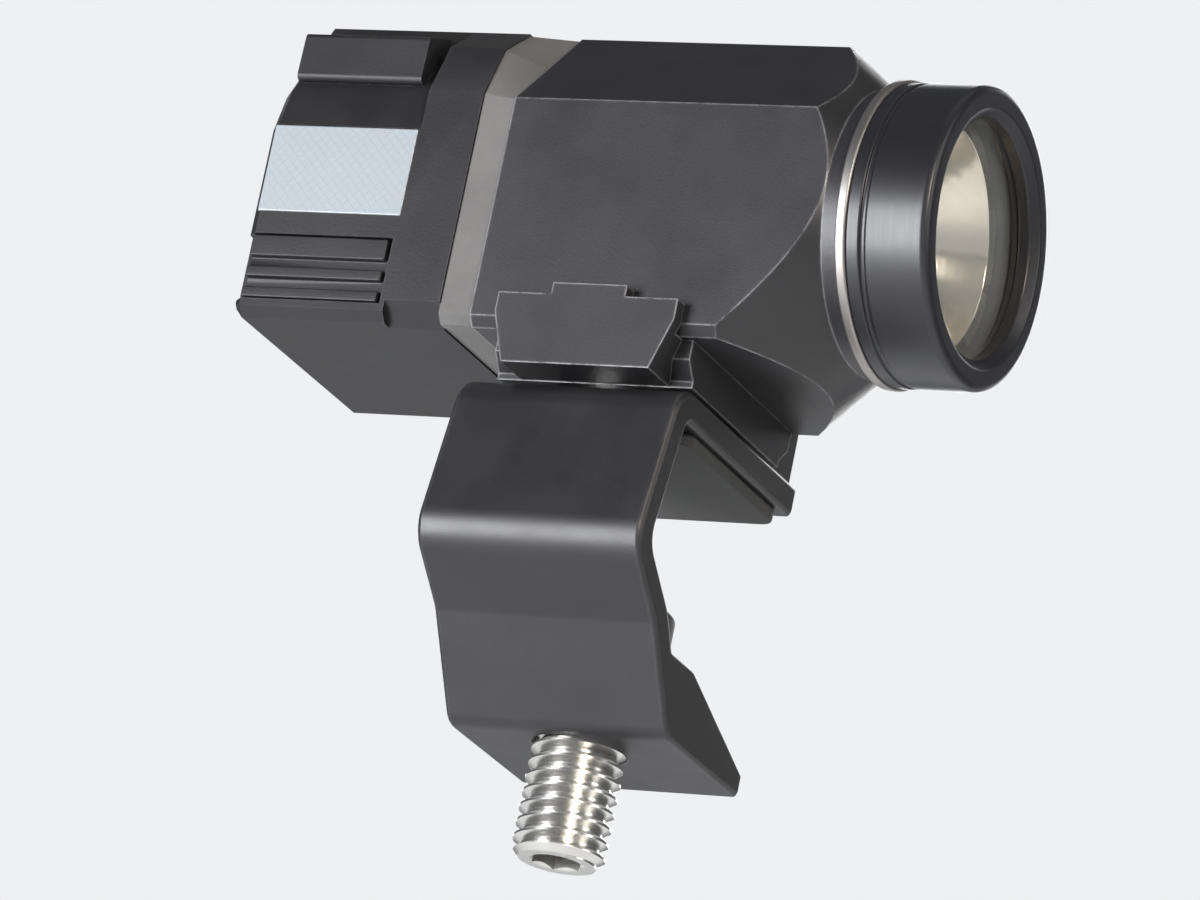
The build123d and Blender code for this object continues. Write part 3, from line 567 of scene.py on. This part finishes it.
# brim screw: one tooth swept up a helix, cut square, pointed, and drilled for its hex key
screw = {"pitch": 0.001814, "depth": 0.00095, "crest": 0.00028, "root": 0.0003, "turns": 17, "below": 2,
         "flats": 0.00556, "socket": 0.006, "neck": 0.0013, "neckRoot": 0.001, "ball": 0.0019,
         "ballUp": 0.0023, "padGap": 0.0002, "blankAir": 0.0001, "point": 1.05}
lead = {"wider": 0.0009, "narrower": 0.0006, "depth": 0.0015, "up": 0.0002}
low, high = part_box("brim_screw")
centre = (low + high) / 2
radius = (high.x - low.x) / 2
foot = low.z
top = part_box("pressure_pad")[0].z - screw["padGap"]

base = radius - screw["depth"]
slope = (screw["pitch"] - screw["crest"] - screw["root"]) / 2
rise = screw["root"] + slope
tooth = [(base, 0.0), (base, screw["root"]), (radius, rise), (radius, rise + screw["crest"]),
         (base, screw["pitch"])]
thread = drawn([Vector((reach, 0.0, height)) for reach, height in tooth])
modify(thread, "SCREW", angle=2 * pi, screw_offset=screw["pitch"], iterations=screw["turns"], steps=72,
       render_steps=72, use_merge_vertices=True, merge_threshold=weld["swept"])
only(thread)
bpy.ops.transform.translate(value=(centre.x, centre.y, foot - screw["below"] * screw["pitch"]))
bpy.ops.object.transform_apply(location=True, rotation=True, scale=True)
edit(thread, lambda: bpy.ops.mesh.remove_doubles(threshold=weld["thread"]),
     lambda: bpy.ops.mesh.bisect(plane_co=(0, 0, foot), plane_no=(0, 0, 1), use_fill=True, clear_inner=True),
     lambda: bpy.ops.mesh.select_all(action="SELECT"),
     lambda: bpy.ops.mesh.bisect(plane_co=(0, 0, top), plane_no=(0, 0, 1), use_fill=True, clear_outer=True),
     lambda: bpy.ops.mesh.select_all(action="SELECT"),
     lambda: bpy.ops.mesh.normals_make_consistent(inside=False))

# turned points at both ends
blank = cutter("primitive_cylinder_add", vertices=96, radius=radius + screw["blankAir"], depth=top - foot,
               location=(centre.x, centre.y, (top + foot) / 2))
modify(blank, "BEVEL", width=screw["depth"] * screw["point"], segments=1, limit_method="ANGLE",
       angle_limit=radians(60.0))
joinSolid(thread, blank, "INTERSECT")

# the key's socket, with a tapered way in
key = cutter("primitive_cylinder_add", vertices=6, radius=screw["flats"] / sqrt(3), depth=2 * screw["socket"],
             location=(centre.x, centre.y, foot), rotation=(0.0, 0.0, radians(30.0)))
joinSolid(thread, key, "DIFFERENCE")
leadCone = cutter("primitive_cone_add", vertices=72, radius1=screw["flats"] / 2 + lead["wider"],
                  radius2=screw["flats"] / 2 - lead["narrower"], depth=lead["depth"],
                  location=(centre.x, centre.y, foot + lead["up"]))
joinSolid(thread, leadCone, "DIFFERENCE")

# the neck and the ball that the pressure pad turns on
neck = cutter("primitive_cylinder_add", vertices=48, radius=screw["neck"],
              depth=screw["ballUp"] + screw["neckRoot"], location=(centre.x, centre.y, top + screw["ballUp"] / 2))
joinSolid(thread, neck, "UNION")
ball = cutter("primitive_uv_sphere_add", segments=48, ring_count=24, radius=screw["ball"],
              location=(centre.x, centre.y, high.z - screw["ball"]))
edit(ball, lambda: bpy.ops.mesh.bisect(plane_co=(0, 0, top), plane_no=(0, 0, 1), use_fill=True,
                                       clear_inner=True))
joinSolid(thread, ball, "UNION")
settle(thread, "brim_screw.finished", "brim_screw", bodyOf["brim_screw"], 24.0)
print("brim screw threaded:", len(thread.data.polygons), "faces")


# values are the width of the broken edge
softened = {
    "lamp_body": 0.00035, "tail_cover": 0.00035, "tail_gasket": 0.0004, "brim_bracket": 0.0003,
    "clamp_jaw": 0.0003, "rail_shoe": 0.00025, "clamp_screw": 0.0002, "cover_latch": 0.00025,
    "switch_rocker": 0.0004, "upper_brim_pad": 0.0003, "pressure_pad": 0.0002,
    "marker_panel_right": 0.00018, "marker_panel_left": 0.00018,
}
for nodeName, width in softened.items():
    brokenEdges(nodeName, nodeName + ".finished", width)
print("edges broken:", len(softened))


# floor, lights and camera
studio = {"floorWide": 12.0, "floorDrop": 0.32, "pale": (0.80, 0.81, 0.82), "shade": (0.77, 0.78, 0.79),
          "floorGlow": 0.3, "backdrop": (0.86, 0.87, 0.88), "fillColour": (0.80, 0.84, 0.90), "fill": 0.13,
          "lens": 262.0, "distance": 1.02}
bpy.ops.object.select_all(action="DESELECT")
low, high = cadBox
middle = (Vector(low) + Vector(high)) / 2

bpy.ops.mesh.primitive_plane_add(size=studio["floorWide"], location=(0.0, 0.0, low[2] - studio["floorDrop"]))
floor = bpy.context.active_object
floor.name = "studioFloor"
floorFinish = Finish("floorPaper", studio["pale"], 0.9)
mottle = floorFinish.noise(3.0, 3.0, 0.5) * 0.3
floorFinish.set("Base Color", floorFinish.mix(mottle, studio["pale"], studio["shade"]))
floorFinish.set("Emission Color", (*studio["pale"], 1.0))
floorFinish.set("Emission Strength", studio["floorGlow"])
floor.data.materials.append(floorFinish.material)

world = bpy.data.worlds.new("studioWorld")
bpy.context.scene.world = world
world.use_nodes = True
sky = Graph(world.node_tree)
seen = sky.node("ShaderNodeBackground", sockets={"Color": (*studio["backdrop"], 1.0), "Strength": 1.0})
fill = sky.node("ShaderNodeBackground", sockets={
    "Color": (*studio["fillColour"], 1.0), "Strength": studio["fill"]})
cameraRay = sky.node("ShaderNodeLightPath", outlet="Is Camera Ray")
backdrop = sky.node("ShaderNodeMixShader", sockets={0: cameraRay, 1: fill, 2: seen})
sky.add("ShaderNodeOutputWorld", sockets={"Surface": backdrop})

# towards the camera, its right and its up, in the row's frame
toCamera = Vector((0.436, -0.850, -0.298)).normalized()
cameraUp = Vector((-0.046, -0.351, 0.935))
cameraRight = cameraUp.cross(toCamera).normalized()
cameraUp = toCamera.cross(cameraRight).normalized()
cameraData = bpy.data.cameras.new("camera")
camera = bpy.data.objects.new("camera", cameraData)
bpy.context.scene.collection.objects.link(camera)
cameraData.lens = studio["lens"]
cameraData.clip_start = 0.01
turn = Matrix((cameraRight, cameraUp, toCamera)).transposed()
camera.matrix_world = Matrix.Translation(middle + toCamera * studio["distance"]) @ turn.to_4x4()
bpy.context.scene.camera = camera


# each softbox: shares of the camera's right, up and towards it, distance, width and height, watts, colour
plainWhite, coolWhite = (1.0, 1.0, 1.0), (0.95, 0.96, 1.0)
warmWhite, bowlWhite = (1.0, 0.96, 0.92), (1.0, 0.93, 0.84)
softboxes = {
    "leftLight": ((-0.78, 0.05, 0.62), 0.8, (0.34, 0.62), 12.0, coolWhite),
    "bowlLight": ((0.42, 0.48, 0.77), 0.6, (0.1, 0.16), 1.7, bowlWhite),
    "topLight": ((0.25, 1.0, -0.25), 0.9, (0.8, 0.5), 0.35, plainWhite),
    "lowLight": ((-0.35, -0.85, 0.4), 0.9, (0.7, 0.5), 1.0, warmWhite),
    "rightLight": ((1.0, 0.3, 0.25), 0.9, (0.25, 0.6), 1.6, warmWhite),
    "backLight": ((0.15, 0.05, -1.0), 1.0, (0.9, 0.6), 9.0, plainWhite),
}
for name, ((right, up, near), distance, size, watts, colour) in softboxes.items():
    light = bpy.data.lights.new(name, "AREA")
    light.shape = "RECTANGLE"
    light.size, light.size_y = size
    light.energy = watts
    light.color = colour
    holder = bpy.data.objects.new(name, light)
    bpy.context.scene.collection.objects.link(holder)
    way = (right * cameraRight + up * cameraUp + near * toCamera).normalized()
    turn = way.to_track_quat("Z", "Y").to_matrix()
    holder.matrix_world = Matrix.Translation(middle + way * distance) @ turn.to_4x4()
bpy.context.scene.view_settings.view_transform = "Standard"
print("studio ready")
